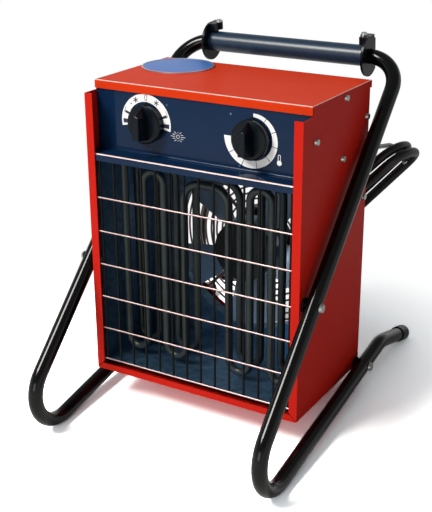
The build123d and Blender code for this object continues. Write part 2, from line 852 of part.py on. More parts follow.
# ------------------------------------------------------------------ cut-out and terminal block
cutout_depth = 60.0
cutout_radius = 8.0
cutout_height = 10.0
with BuildPart() as overheat_cutout:
    with BuildSketch(level(floor_top)):
        with Locations((0, cutout_depth)):
            SlotOverall(4.25 * cutout_radius, 1.5 * cutout_radius)
    extrude(amount=sheet)
    with BuildSketch(level(floor_top)):
        with Locations((0, cutout_depth)):
            Circle(cutout_radius)
    extrude(amount=cutout_height)
overheat_cutout.part.label = "overheat_cutout"
export_step(overheat_cutout.part, "parts/overheat_cutout.step")

block_depth = 90.0
block_pitch = 11.0
block_length = 22.0
block_base = 12.0
block_turret = 6.0
block_screw_radius = 2.2
with BuildPart() as terminal_block:
    with BuildSketch(level(floor_top)):
        with Locations((gland_across, block_depth)):
            Rectangle(3 * block_pitch + 3.0, block_length)
    extrude(amount=block_base)
    with BuildSketch(level(floor_top + block_base)):
        with Locations((gland_across, block_depth)):
            with GridLocations(block_pitch, 1, 3, 1):
                Rectangle(block_pitch - 3.0, block_length - 8.0)
    extrude(amount=block_turret)
    with BuildSketch(level(floor_top + block_base + block_turret)):
        with Locations((gland_across, block_depth)):
            with GridLocations(block_pitch, 1, 3, 1):
                Circle(block_screw_radius)
    extrude(amount=1.0 - block_turret, mode=Mode.SUBTRACT)
terminal_block.part.label = "terminal_block"
export_step(terminal_block.part, "parts/terminal_block.step")

# ------------------------------------------------------------------ stand
# Each tube runs from the rear foot along the floor, round the front bend, up the leg and across
# into the handle, where the two tubes meet on a spigot.
stand_route = [
    (tube_joint_gap / 2, crossbar_y, crossbar_height),
    (tube_plane, crossbar_y, crossbar_height),
    (tube_plane, front_corner[0], front_corner[1]),
    (tube_plane, rear_corner[0], rear_corner[1]),
    (tube_plane, rear_end[0], rear_end[1]),
]
tube_bore = tube_radius - tube_wall
for tube_name, hand in (("stand_tube_left", -1), ("stand_tube_right", 1)):
    with BuildPart() as stand_tube:
        with BuildLine():
            tube_path = FilletPolyline(*[(hand * x, y, z) for x, y, z in stand_route], radius=tube_bend)
        with BuildSketch(Plane(origin=tube_path @ 0, z_dir=tube_path % 0)):
            Circle(tube_radius)
            Circle(tube_bore, mode=Mode.SUBTRACT)
        sweep(path=tube_path)
        add(stand_holes, mode=Mode.SUBTRACT)
    stand_tube.part.label = tube_name
    export_step(stand_tube.part, f"parts/{tube_name}.step")

with BuildPart() as handle_spigot:
    with BuildSketch(side_view(-spigot_length / 2)):
        with Locations((crossbar_y, crossbar_height)):
            Circle(tube_bore - fit_gap)
            Circle(tube_bore - fit_gap - tube_wall, mode=Mode.SUBTRACT)
    extrude(amount=spigot_length)
handle_spigot.part.label = "handle_spigot"
export_step(handle_spigot.part, "parts/handle_spigot.step")

with BuildPart() as handle_grip:
    with BuildSketch(side_view(grip_shift - grip_half_length)):
        with Locations((crossbar_y, crossbar_height)):
            Circle(grip_radius)
            Circle(tube_radius + fit_gap, mode=Mode.SUBTRACT)
    extrude(amount=2 * grip_half_length)
handle_grip.part.label = "handle_grip"
export_step(handle_grip.part, "parts/handle_grip.step")

# A plate closes each end of the grip, cut flat at the back. A boss on its top reaches over the grip.
clamp_seats = []
with BuildPart() as handle_flanges:
    for hand in (-1, 1):
        inner_face = grip_shift + hand * grip_half_length
        outer_face = inner_face + hand * flange_thickness
        clamp_seats.append(Plane(origin=(outer_face - hand * clamp_inset, crossbar_y + clamp_rear, crossbar_height + boss_top)))
        with BuildSketch(side_view(inner_face)):
            with Locations((crossbar_y, crossbar_height)):
                Circle(flange_radius)
                with Locations((flange_flat + flange_radius, 0)):
                    Rectangle(2 * flange_radius, 4 * flange_radius, mode=Mode.SUBTRACT)
                Circle(tube_radius + flange_bend_gap, mode=Mode.SUBTRACT)
        extrude(amount=hand * flange_thickness)
        with BuildSketch(side_view(outer_face)):
            with Locations((crossbar_y + (boss_front + boss_rear) / 2, crossbar_height + (boss_base + boss_top) / 2)):
                Rectangle(boss_rear - boss_front, boss_top - boss_base)
        extrude(amount=-hand * boss_length)
        with BuildSketch(clamp_seats[-1]):
            Circle(screw_head_radius + 0.5)
        extrude(amount=boss_base - boss_top)
        with BuildSketch(clamp_seats[-1]):
            Circle(screw_radius + fit_gap)
        extrude(amount=boss_base - boss_top, mode=Mode.SUBTRACT)
handle_flanges.part.label = "handle_flanges"
export_step(handle_flanges.part, "parts/handle_flanges.step")

rear_heading = Vector(0, cos(radians(rear_drop)), -sin(radians(rear_drop)))
with BuildPart() as tube_end_caps:
    for hand in (-1, 1):
        cap_end = Vector(hand * tube_plane, rear_end[0], rear_end[1])
        cap_plane = Plane(origin=cap_end, x_dir=(1, 0, 0), z_dir=-rear_heading)
        with BuildSketch(cap_plane):
            Circle(cap_radius)
            Circle(tube_radius + fit_gap, mode=Mode.SUBTRACT)
        extrude(amount=cap_length)
        with BuildSketch(cap_plane):
            Circle(tube_bore - fit_gap)
        extrude(amount=cap_socket)
        with Locations(cap_end):
            Sphere(cap_radius)
        with BuildSketch(cap_plane):
            Circle(tube_radius + fit_gap)
            Circle(tube_bore - fit_gap, mode=Mode.SUBTRACT)
        extrude(amount=cap_length, mode=Mode.SUBTRACT)
    with BuildSketch(Plane.XY):
        Rectangle(2 * overall_depth, 2 * overall_depth)
    extrude(amount=-cap_radius, mode=Mode.SUBTRACT)
tube_end_caps.part.label = "tube_end_caps"
export_step(tube_end_caps.part, "parts/tube_end_caps.step")

bolt_end = inner_half - nut_height - 1.0
tube_outside = tube_plane + tube_radius
with BuildPart() as stand_bolts:
    for hand in (-1, 1):
        with BuildSketch(side_view(hand * tube_outside)):
            with Locations(leg_bolt, run_bolt):
                Circle(bolt_head_radius)
        extrude(amount=hand * bolt_head_height, taper=18)
        with BuildSketch(side_view(hand * tube_outside)):
            with Locations(leg_bolt, run_bolt):
                Circle(bolt_radius)
        extrude(amount=-hand * (tube_outside - bolt_end))
stand_bolts.part.label = "stand_bolts"
export_step(stand_bolts.part, "parts/stand_bolts.step")

with BuildPart() as stand_nuts:
    for hand in (-1, 1):
        with BuildSketch(side_view(hand * inner_half)):
            with Locations(leg_bolt):
                RegularPolygon(nut_radius, 6)
                Circle(bolt_radius, mode=Mode.SUBTRACT)
        extrude(amount=-hand * nut_height)
        with BuildSketch(side_view(hand * (inner_half - tuck - sheet))):
            with Locations(run_bolt):
                Circle(rivet_nut_radius)
                Circle(bolt_radius, mode=Mode.SUBTRACT)
        extrude(amount=-hand * (nut_height - sheet))
stand_nuts.part.label = "stand_nuts"
export_step(stand_nuts.part, "parts/stand_nuts.step")

with BuildPart() as stand_spacers:
    for hand in (-1, 1):
        with BuildSketch(side_view(hand * half_width)):
            with Locations(leg_bolt, run_bolt):
                Circle(spacer_radius)
                Circle(bolt_radius + fit_gap, mode=Mode.SUBTRACT)
        extrude(amount=hand * spacer_thickness)
stand_spacers.part.label = "stand_spacers"
export_step(stand_spacers.part, "parts/stand_spacers.step")


# ------------------------------------------------------------------ screws
def pan_screw(seat, reach):
    """A pan-headed screw whose head sits on seat and whose shank goes reach into it."""
    with BuildPart() as screw:
        with BuildSketch(seat):
            Circle(screw_head_radius)
        extrude(amount=screw_head_height, taper=14)
        with BuildSketch(seat):
            Circle(screw_radius)
        extrude(amount=-reach)
    return screw.part


with BuildPart() as casing_screws:
    for depth, height in side_screws:
        for hand in (-1, 1):
            head_seat = Plane(
                origin=spot(hand * half_width, depth, height),
                x_dir=casing.y_dir,
                z_dir=casing.x_dir * hand,
            )
            add(pan_screw(head_seat, screw_length))
casing_screws.part.label = "casing_screws"
export_step(casing_screws.part, "parts/casing_screws.step")

with BuildPart() as guard_screws:
    for foot in guard_feet:
        foot_seat = Plane(origin=foot, x_dir=casing.x_dir, z_dir=casing.y_dir).offset(2 * sheet)
        add(pan_screw(foot_seat, screw_length))
guard_screws.part.label = "guard_screws"
export_step(guard_screws.part, "parts/guard_screws.step")

with BuildPart() as motor_screws:
    for quarter in range(4):
        turn = 90 * quarter
        across = plate_bolt_radius * cos(radians(turn))
        height = fan_height + plate_bolt_radius * sin(radians(turn))
        plate_seat = Plane(origin=spot(across, plate_rear, height), x_dir=casing.x_dir, z_dir=casing.y_dir)
        add(pan_screw(plate_seat, plate_thickness + 2.5))
motor_screws.part.label = "motor_screws"
export_step(motor_screws.part, "parts/motor_screws.step")

with BuildPart() as flange_screws:
    for seat in clamp_seats:
        add(pan_screw(seat, boss_top - boss_base - 0.5))
flange_screws.part.label = "flange_screws"
export_step(flange_screws.part, "parts/flange_screws.step")

# Two small screws hold the switch's and thermostat's brackets, and one more sits by the crease.
fixing_height = dial_height + 22.0
fixing_radius = 1.3
panel_fixings = [
    (24.0 - dial_offset, fixing_height),
    (dial_offset - 24.0, fixing_height),
    (dial_offset - 14.4, panel_crease_height + 3.6),
]
with BuildPart() as panel_screws:
    for across, height in panel_fixings:
        face_seat = Plane(origin=spot(across, panel_face_depth, height), x_dir=casing.x_dir, z_dir=-casing.y_dir)
        with BuildSketch(face_seat):
            Circle(fixing_radius)
        extrude(amount=fixing_radius / 2, taper=20)
panel_screws.part.label = "panel_screws"
export_step(panel_screws.part, "parts/panel_screws.step")

# ------------------------------------------------------------------ cord hook
# A bent rod that reaches over the hank's upper end and passes through its loops.
slope = radians(hank_slope)
turned = radians(hank_turn)
hank_along = heading(cos(slope), 0, sin(slope))
hank_stack = heading(sin(slope) * cos(turned), sin(turned), -cos(slope) * cos(turned))
hank = Plane(origin=spot(*hank_centre), x_dir=hank_along, z_dir=hank_stack)
hook_along = hank_run / 2 + hank_bend - cord_radius - hook_radius - 1.5
hook_clear = cord_radius + hook_radius + 1.5
hook_bend = 6.0
with BuildPart() as cord_hook:
    with BuildLine():
        hook_path = FilletPolyline(
            spot(hook_foot[0], rear_panel_depth - 4.0, hook_foot[1]),
            spot(hook_foot[0], rear_face + 18.0, hook_foot[1]),
            hank.from_local_coords((hook_along, 0, -hook_clear)),
            hank.from_local_coords((hook_along, 0, hank_pitch * (hank_turns - 1) + cord_radius)),
            radius=hook_bend,
        )
    with BuildSketch(Plane(origin=hook_path @ 0, z_dir=hook_path % 0)):
        Circle(hook_radius)
    sweep(path=hook_path)
    with BuildSketch(upright(rear_face)):
        with Locations(hook_foot):
            Circle(2 * hook_radius)
    extrude(amount=-2.0)
cord_hook.part.label = "cord_hook"
export_step(cord_hook.part, "parts/cord_hook.step")

# ------------------------------------------------------------------ cord
# The gland: a collar on each face of the rear panel and a tapered sleeve behind it.
gland_neck = gland_collar_radius - gland_collar - fit_gap
with BuildPart() as cord_gland:
    with BuildSketch(upright(rear_face)):
        with Locations((gland_across, gland_height)):
            Circle(gland_collar_radius)
    extrude(amount=-gland_collar)
    with BuildSketch(upright(rear_face)):
        with Locations((gland_across, gland_height)):
            Circle(gland_neck)
    extrude(amount=sheet)
    with BuildSketch(upright(rear_panel_depth)):
        with Locations((gland_across, gland_height)):
            Circle(gland_collar_radius)
    extrude(amount=gland_collar)
    with BuildSketch(upright(rear_face + gland_collar)):
        with Locations((gland_across, gland_height)):
            Circle(gland_neck + 1.0)
    extrude(amount=-(gland_length - gland_collar), taper=2.5)
cord_gland.part.label = "cord_gland"
export_step(cord_gland.part, "parts/cord_gland.step")


def cord_bends(points):
    """One radius per corner, as large as the two runs beside it allow."""
    radii = []
    for before, corner, after in zip(points, points[1:], points[2:]):
        incoming = corner - before
        outgoing = after - corner
        shorter = min(incoming.length, outgoing.length)
        radii.append(0.45 * shorter / tan(radians(incoming.get_angle(outgoing)) / 2))
    return radii


def report_cord(label, path, piece):
    """Prints a cord's length and its volume against its section times its length."""
    section = pi * cord_radius**2
    print(f"{label}: length {path.length:.1f}, volume {piece.volume:.0f} of {section * path.length:.0f}")


# The hank: an unbroken tube that climbs one pitch along each run beside the panel.
near = hank_bend
low_end = -hank_run / 2
tail_start = 0.0
with BuildPart() as cord_hank:
    with BuildLine(hank) as hank_line:
        Line((low_end - 2 * cord_radius, near, -hank_pitch), (low_end, near, -hank_pitch))
        for lap in range(hank_turns):
            high_end = hank_run / 2 + lap * hank_stagger
            below = (lap - 1) * hank_pitch
            here = lap * hank_pitch
            rise = (here - below) / 2
            half = (high_end - low_end) / 2
            chord = hypot(half, rise)
            lift = chord / 2 * tan(atan2(rise, half) / 2)
            middle = (low_end + half, near, below + rise)
            ThreePointArc((low_end, near, below), (low_end + chord / 2, near, below + lift), middle)
            ThreePointArc(middle, (high_end - chord / 2, near, here - lift), (high_end, near, here))
            ThreePointArc((high_end, near, here), (high_end + near, 0, here), (high_end, -near, here))
            if lap < hank_turns - 1:
                Line((high_end, -near, here), (low_end, -near, here))
                ThreePointArc((low_end, -near, here), (low_end - near, 0, here), (low_end, near, here))
            else:
                Line((high_end, -near, here), (tail_start, -near, here))
    hank_path = hank_line.wires()[0]
    with BuildSketch(Plane(origin=hank_path @ 0, z_dir=hank_path % 0)):
        Circle(cord_radius)
    sweep(path=hank_path)
cord_hank.part.label = "cord_hank"
export_step(cord_hank.part, "parts/cord_hank.step")
report_cord("hank", hank_path, cord_hank.part)

# The hank's least gap to itself, on points a quarter of a radius apart.
point_count = ceil(4 * hank_path.length / cord_radius)
hank_points = [hank_path @ (step / point_count) for step in range(point_count + 1)]
skip = ceil(4 * (pi * hank_bend / 2) / cord_radius)
least_gap = min(
    (first - second).length
    for place, first in enumerate(hank_points)
    for second in hank_points[place + skip:]
) - 2 * cord_radius
print(f"hank: least gap to itself {least_gap:.2f}")

# The lead hangs from the gland and comes up into the hank. The points are in the casing's frame.
lead_points = [spot(*point) for point in (
    (gland_across, rear_face + gland_length, gland_height),
    (gland_across, 197.0, gland_height),
    (-67.0, 217.0, 268.0),
    (-78.0, 224.5, 237.0),
    (-91.5, 222.5, 203.0),
    (-104.0, 213.0, 168.0),
    (-112.5, 202.0, 136.0),
    (-114.5, 190.0, 106.0),
    (-107.5, 179.5, 79.5),
    (-90.5, 171.5, 61.0),
    (-67.0, 167.5, 54.0),
)]
hank_start = hank.from_local_coords((low_end - 2 * cord_radius, near, -hank_pitch))
lead_points += [hank_start - hank_along * 25.0, hank_start]
with BuildPart() as cord_lead:
    with BuildLine():
        lead_path = FilletPolyline(*lead_points, radius=cord_bends(lead_points))
    with BuildSketch(Plane(origin=lead_path @ 0, z_dir=lead_path % 0)):
        Circle(cord_radius)
    sweep(path=lead_path)
cord_lead.part.label = "cord_lead"
export_step(cord_lead.part, "parts/cord_lead.step")
report_cord("lead", lead_path, cord_lead.part)
print("lead radii", [round(radius, 1) for radius in cord_bends(lead_points)])

# The tail leaves the hank's far run and hangs down to the plug.
tail_begin = hank.from_local_coords((tail_start, -near, hank_pitch * (hank_turns - 1)))
tail_points = [
    tail_begin,
    tail_begin - hank_along * 24.0,
    spot(45.5, 213.0, 101.0),
    spot(43.0, 212.5, 77.5),
]
with BuildPart() as cord_tail:
    with BuildLine():
        tail_path = FilletPolyline(*tail_points, radius=cord_bends(tail_points))
    with BuildSketch(Plane(origin=tail_path @ 0, z_dir=tail_path % 0)):
        Circle(cord_radius)
    sweep(path=tail_path)
cord_tail.part.label = "cord_tail"
export_step(cord_tail.part, "parts/cord_tail.step")
report_cord("tail", tail_path, cord_tail.part)
print("tail radii", [round(radius, 1) for radius in cord_bends(tail_points)])

# A round two-pin plug hangs at its end.
plug = Plane(origin=tail_path @ 1, x_dir=(1, 0, 0), z_dir=tail_path % 1)
with BuildPart() as plug_body:
    with BuildSketch(plug):
        Circle(cord_radius + 1.2)
    extrude(amount=plug_relief, taper=-5)
    with BuildSketch(plug.offset(plug_relief)):
        Circle(plug_radius - 8.0)
    with BuildSketch(plug.offset(plug_relief + 10.0)):
        Circle(plug_radius)
    loft()
    with BuildSketch(plug.offset(plug_relief + 10.0)):
        Circle(plug_radius)
    extrude(amount=plug_length - 10.0)
plug_body.part.label = "plug_body"
export_step(plug_body.part, "parts/plug_body.step")

with BuildPart() as plug_pins:
    with BuildSketch(plug.offset(plug_relief + plug_length)):
        with GridLocations(plug_pin_pitch, 1, 2, 1):
            Circle(plug_pin_radius)
    extrude(amount=plug_pin_length)
plug_pins.part.label = "plug_pins"
export_step(plug_pins.part, "parts/plug_pins.step")
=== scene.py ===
"""A portable forced air heater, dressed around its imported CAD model.

The sections follow the heater as it is put together: the steel box, its badge and its control
panel, the inside, the fan, the elements, the grille, the knobs, the stand and the cord. The floor,
the lamps and the camera come last. Places on the box are across, depth and height in mm. They run
from the middle of its bottom edge, below the cover's front, and the box leans back on its stand.
"""

import bpy
import numpy as np
from mathutils import Matrix, Vector


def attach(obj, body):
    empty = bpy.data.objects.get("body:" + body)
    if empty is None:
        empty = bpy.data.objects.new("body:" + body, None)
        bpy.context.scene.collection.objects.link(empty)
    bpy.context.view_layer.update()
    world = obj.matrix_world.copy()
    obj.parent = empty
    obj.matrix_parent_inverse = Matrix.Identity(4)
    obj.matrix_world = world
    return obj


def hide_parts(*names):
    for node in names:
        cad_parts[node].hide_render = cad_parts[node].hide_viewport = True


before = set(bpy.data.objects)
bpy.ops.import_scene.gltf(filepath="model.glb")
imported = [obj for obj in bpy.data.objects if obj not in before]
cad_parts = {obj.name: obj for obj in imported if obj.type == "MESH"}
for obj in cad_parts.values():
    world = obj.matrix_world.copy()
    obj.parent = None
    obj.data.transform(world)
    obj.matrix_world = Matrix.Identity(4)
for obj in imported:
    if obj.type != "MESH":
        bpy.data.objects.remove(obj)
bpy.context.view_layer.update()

# ---------------------------------------------------------------- places and finishes
lean = np.radians(6.0)
box_foot = np.array([0.0, -63.933, 36.3])


def on_box(places):
    """Box places in mm as places in metres: turned by the lean about X, then moved to the foot."""
    places = np.asarray(places, float)
    across, depth, height = places[..., 0], places[..., 1], places[..., 2]
    turned = np.stack([
        across,
        depth * np.cos(lean) + height * np.sin(lean),
        height * np.cos(lean) - depth * np.sin(lean),
    ], -1)
    return (turned + box_foot) / 1000


def paint(code):
    """The linear colour of an sRGB hex value: straight in the darks, a 2.4 power above them."""
    srgb = np.array([int(code[digit:digit + 2], 16) for digit in (1, 3, 5)]) / 255
    linear = np.where(srgb <= 0.04045, srgb / 12.92, ((srgb + 0.055) / 1.055) ** 2.4)
    return (*linear, 1.0)


def add(tree, kind, inputs=None, **settings):
    """One node with its settings. Each input is a value, or another node's output to link."""
    made = tree.nodes.new("ShaderNode" + kind)
    for name, value in settings.items():
        setattr(made, name, value)
    for name, value in (inputs or {}).items():
        if isinstance(value, bpy.types.NodeSocket):
            tree.links.new(value, made.inputs[name])
        else:
            made.inputs[name].default_value = value
    return made


def begin_finish(name):
    """An empty material, with the node that gives its places on the object in metres."""
    material = bpy.data.materials.new(name)
    material.use_nodes = True
    tree = material.node_tree
    tree.nodes.clear()
    return material, tree, add(tree, "TexCoord").outputs["Object"]


def end_finish(tree, share, low, high, inputs):
    """Closes a material: its colour lies between two paints, at a share from 0 to 1."""
    colour = add(tree, "Mix", {0: share, 6: paint(low), 7: paint(high)}, data_type="RGBA")
    surface = add(tree, "BsdfPrincipled", {"Base Color": colour.outputs[2], **inputs})
    add(tree, "OutputMaterial", {"Surface": surface.outputs["BSDF"]})


def noise(tree, place, size, detail):
    """Noise from 0 to 1 in patches of a size in mm."""
    return add(tree, "TexNoise", {"Vector": place, "Scale": 1000 / size, "Detail": detail})


def finish(name, low, high, patch, inputs, relief=None):
    """A material whose tone wanders between two paints in patches, given as (size in mm, detail).

    Its relief is a second noise as a bump, given as (size in mm, detail, strength, height in mm).
    """
    material, tree, place = begin_finish(name)
    if relief:
        size, detail, strength, height = relief
        bump = add(tree, "Bump", {
            "Height": noise(tree, place, size, detail).outputs["Fac"],
            "Strength": strength,
            "Distance": height / 1000,
        })
        inputs = {**inputs, "Normal": bump.outputs["Normal"]}
    end_finish(tree, noise(tree, place, *patch).outputs["Fac"], low, high, inputs)
    return material


def dress(material, *nodes):
    """Gives CAD nodes their finish in every slot."""
    for node in nodes:
        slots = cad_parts[node].data.materials
        slots.clear()
        slots.append(material)


def surface(name, places, material, ring=False, smooth=True):
    """A piece from a grid of box places, as quads. In a ring, each row is joined round."""
    rows, columns = places.shape[:2]
    number = np.arange(rows * columns).reshape(rows, columns)
    if ring:
        number = np.hstack([number, number[:, :1]])
    corners = np.stack([number[:-1, :-1], number[1:, :-1], number[1:, 1:], number[:-1, 1:]], -1)
    mesh = bpy.data.meshes.new(name)
    mesh.from_pydata(on_box(places).reshape(-1, 3).tolist(), [], corners.reshape(-1, 4).tolist())
    mesh.materials.append(material)
    mesh.polygons.foreach_set("use_smooth", np.full(len(mesh.polygons), smooth))
    piece = bpy.data.objects.new(name, mesh)
    bpy.context.scene.collection.objects.link(piece)
    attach(piece, "heater")
    return piece


# ---------------------------------------------------------------- red steel box
# A tray folded from 1 mm steel sheet makes the floor and both sides. The cover lies over it and
# the rear panel closes it. All three are stoved in red enamel, a dielectric of IOR 1.5. Its orange
# peel is about 2 mm across and barely felt, and the film is a little thicker, so darker, in
# patches as large as a hand. The cover's red is a shade nearer to orange: a painted warm tint that
# stands in for warm light reflected on its top.
film_patch, orange_peel = (90, 2.0), (2.2, 1.0, 0.12, 0.3)
dress(finish(
    "red_stove_enamel", "#BF2318", "#B11B12", film_patch,
    {"Roughness": 0.34, "IOR": 1.5, "Specular IOR Level": 0.03}, orange_peel,
), "casing_shell", "rear_panel")
dress(finish(
    "red_enamel_painted_warm_light", "#C63715", "#BA2F11", film_patch,
    {"Roughness": 0.34, "IOR": 1.5, "Specular IOR Level": 0.01}, orange_peel,
), "top_cover")

# ---------------------------------------------------------------- badge
# A blue anodised disc with a bright turned rim, stuck on the cover and left bare. The dye hides
# most of the metal, and both have a fine turned grain. The face rises 0.5 mm towards its middle.
blue_anodised = finish(
    "blue_anodised_disc", "#2C62AE", "#386FBC", (0.8, 2.0), {"Metallic": 0.2, "Roughness": 0.38},
)
bright_rim = finish(
    "bright_turned_rim", "#B9C0CC", "#D4D9E0", (1.0, 2.0), {"Metallic": 1.0, "Roughness": 0.3},
)
badge_centre = (-84.9, 97.2, 324.2)
turn = np.linspace(0, 2 * np.pi, 128, endpoint=False)
badge_reach = np.array([0.05, 12.0, 24.0, 33.0, 37.2, 37.9])[:, None]
badge_rise = np.array([1.75, 1.70, 1.55, 1.38, 1.28, 1.2])[:, None]
badge_face = surface("badge_face", np.stack([
    badge_centre[0] + badge_reach * np.cos(turn),
    badge_centre[1] + badge_reach * np.sin(turn),
    badge_centre[2] + np.repeat(badge_rise, len(turn), 1),
], -1), blue_anodised, ring=True)
dress(bright_rim, "badge_plate")

# ---------------------------------------------------------------- control panel
# Bent sheet in glossy dark navy enamel. Its nearly level ledge mirrors the dials above it.
dress(finish(
    "navy_gloss_enamel", "#091D35", "#0C2543", (60, 2.0),
    {"Roughness": 0.1, "IOR": 1.5, "Specular IOR Level": 0.14}, (2.0, 1.0, 0.05, 0.2),
), "control_panel")

# A pale film along a fold is a painted highlight, standing in for the light caught on the bend.
fold_highlight_film = finish("painted_fold_highlight", "#C9A8A0", "#E6D2CC", (7.0, 3.0), {"Roughness": 0.35})


def film_grid(turns, ends):
    """Angles round a fold between two turns in degrees, and places along it between two ends."""
    return np.meshgrid(np.radians(np.linspace(*turns, 6)), np.linspace(*ends, 25), indexing="ij")


def painted_highlight_line(name, turns, half, centre, reach):
    """A painted highlight round part of a fold that runs across the box by half its length each
    way.
    """
    bow, run = film_grid(turns, (-half, half))
    line = surface(name, np.stack([
        run, centre[0] + reach * np.cos(bow), centre[1] + reach * np.sin(bow),
    ], -1), fold_highlight_film)


# One painted highlight runs along the front fold of the panel's ledge, the other along the cover's
# front fold. Each lies 0.08 mm off the fold's outer radius.
painted_highlight_line("panel_fold_highlight", (112, 152), 123.6, (-14.5, 248.33), 2.2 + 0.08)
painted_highlight_line("cover_fold_highlight", (96, 136), 124.8, (1.8, 322.4), 1.8 + 0.08)

# The cover's right edge gets the same painted highlight, as a bead round the cut edge of its sheet.
bead_centre, bead_radius = (124.6, 323.8), 0.62
bow, run = film_grid((80, 10), (2.0, 136.5))
cover_edge = surface("cover_edge_highlight", np.stack([
    bead_centre[0] + bead_radius * np.cos(bow), run, bead_centre[1] + bead_radius * np.sin(bow),
], -1), fold_highlight_film)

# ---------------------------------------------------------------- printed dials
# The dials' rings are screen printed in white, with their sectors left apart. The marks are
# printed dark over the ring, so they are laid one film's thickness further out.
panel_face, print_film = 1.5, 0.06
over_ring = 2
white_ink = finish("white_screen_print", "#DCDCDC", "#ECECEA", (1.2, 2.0), {"Roughness": 0.5})
dark_ink = finish("dark_screen_print", "#181E2E", "#202840", (1.2, 2.0), {"Roughness": 0.4})


def print_band(name, first, second, material, layer=1):
    """A printed patch between two edges, given as (across, height) on the panel, in quads."""
    edges = np.stack([np.asarray(first, float), np.asarray(second, float)])
    depth = np.full(edges.shape[:2], panel_face - layer * print_film)
    places = np.stack([edges[..., 0], depth, edges[..., 1]], -1)
    patch = surface(name, places, material, smooth=False)
    mesh = patch.data
    if mesh.polygons[0].normal.y > 0:
        mesh.flip_normals()


def polar(centre, radius, clock):
    """Points at a radius round a dial's centre, where clock is degrees clockwise from the top."""
    angle = np.radians(np.asarray(clock, float))
    radius = np.asarray(radius, float)
    return np.stack([centre[0] + radius * np.sin(angle), centre[1] + radius * np.cos(angle)], -1)


def circle(start, end, count):
    """Points on a unit circle between two angles in radians, anticlockwise from the right."""
    angle = np.linspace(start, end, count)
    return np.stack([np.cos(angle), np.sin(angle)], -1)


def stroke(name, start, end, width, material, layer=1):
    """A printed bar from start to end, its edges half the width to each side."""
    along = (end - start) / np.linalg.norm(end - start)
    side = np.array([-along[1], along[0]]) * width / 2
    print_band(name, [start + side, end + side], [start - side, end - side], material, layer)


# The switch's ring carries a zero at its top, a fan to each side of it and a dot at the left. Two
# bars stand towards each end, a narrow one for half heat and a wide one for full heat.
switch_dial = np.array([-62.9, 285.3])
ring_outer, ring_inner, ring_end = 29.9, 21.8, 101
clock = np.linspace(-ring_end, ring_end, 81)
print_band(
    "switch_ring", polar(switch_dial, ring_outer, clock), polar(switch_dial, ring_inner, clock),
    white_ink,
)
oval = circle(0, 2 * np.pi, 33)
zero = polar(switch_dial, 26.4, 1)
print_band("switch_zero", zero + oval * [1.8, 3.3], zero + oval * [1.1, 2.6], dark_ink, over_ring)
fan_tip, fan_line = 3.0, 0.9
for side, clock in (("left", -28), ("right", 31)):
    centre = polar(switch_dial, 25.7, clock)
    for arm in range(3):
        angle = np.radians(60 * arm + 90)
        tip = fan_tip * np.array([np.cos(angle), np.sin(angle)])
        name = f"switch_fan_{side}_{arm}"
        stroke(name, centre - tip, centre + tip, fan_line, dark_ink, over_ring)
heat_marks = (
    ("half", (66, 69, 72), 27.2, ring_inner),
    ("half_line", (58, 62, 72), 28.4, 27.9),
    ("full", (86, 91, 96), 28.2, ring_inner),
)
for side, turned in (("left", -1), ("right", 1)):
    for mark, clocks, outer, inner in heat_marks:
        clock = turned * np.array(clocks)
        print_band(
            f"switch_{mark}_{side}", polar(switch_dial, outer, clock),
            polar(switch_dial, inner, clock), dark_ink, over_ring,
        )
pinhole = 0.02
dot = polar(switch_dial, 25.5, -44)
print_band("switch_dot", dot + 0.8 * oval, dot + pinhole * oval, dark_ink, over_ring)

# The thermostat's ring has eight sectors, and its outer edge steps outwards as the heat rises.
heat_dial = np.array([61.0, 285.0])
heat_start, heat_sweep, sectors, sector_gap = 1, 270, 8, 0.7
sector_sweep = heat_sweep / sectors
for sector in range(sectors):
    clock = np.linspace(
        heat_start + sector_sweep * sector + sector_gap,
        heat_start + sector_sweep * (sector + 1) - sector_gap, 15,
    )
    outer = 25.2 + 6.5 * (clock - heat_start) / heat_sweep
    print_band(
        f"heat_sector_{sector + 1}", polar(heat_dial, outer, clock),
        polar(heat_dial, 21.7, clock), white_ink,
    )

# A thermometer stands beside the ring: a full bulb, and two lines that meet in a round top.
bulb = np.array([90.4, 265.0])
ring = circle(0, 2 * np.pi, 25)
print_band("thermometer_bulb", bulb + 2.6 * ring, bulb + pinhole * ring, white_ink)
stem_low, stem_high = bulb + [0, 2.0], bulb + [0, 6.8]
stem_half, stem_line = 1.25, 0.55
for side, hand in (("left", -1), ("right", 1)):
    aside = [hand * stem_half, 0]
    stroke(f"thermometer_stem_{side}", stem_low + aside, stem_high + aside, stem_line, white_ink)
arch = circle(0, np.pi, 13)
print_band("thermometer_top", stem_high + 1.52 * arch, stem_high + 0.98 * arch, white_ink)

# A small sun stands below the middle, wider than it is high, its beams long and short in turn.
sun = np.array([-24.6, 275.9])
beams, beam_start, beam_long, beam_short, beam_line = 12, 3.6, 7.6, 6.4, 0.4
beam_squash = [1.15, 0.75]
for beam in range(beams):
    angle = np.radians(360 / beams * beam)
    out = np.array([np.cos(angle), np.sin(angle)])
    beam_end = beam_short if beam % 2 else beam_long
    stroke(
        f"sun_beam_{beam + 1}", sun + beam_start * out, sun + beam_end * out * beam_squash,
        beam_line, white_ink,
    )
print_band("sun_disc", sun + 2.0 * ring, sun + 1.6 * ring, white_ink)

# ---------------------------------------------------------------- inside the box
# Hot-dip galvanised sheet for the liner and the compartment's floor. It shows flat crystals, about
# 6 mm across, each a slightly different blue-grey.
galvanised, tree, place = begin_finish("galvanised_sheet")
crystals = add(tree, "TexVoronoi", {"Vector": place, "Scale": 1000 / 6.0, "Randomness": 1.0})
grey = add(tree, "SeparateColor", {"Color": crystals.outputs["Color"]})
end_finish(tree, grey.outputs["Red"], "#446683", "#587C9B", {"Metallic": 0.8, "Roughness": 0.42})
dress(galvanised, "compartment_floor", "inner_duct", "panel_screws")

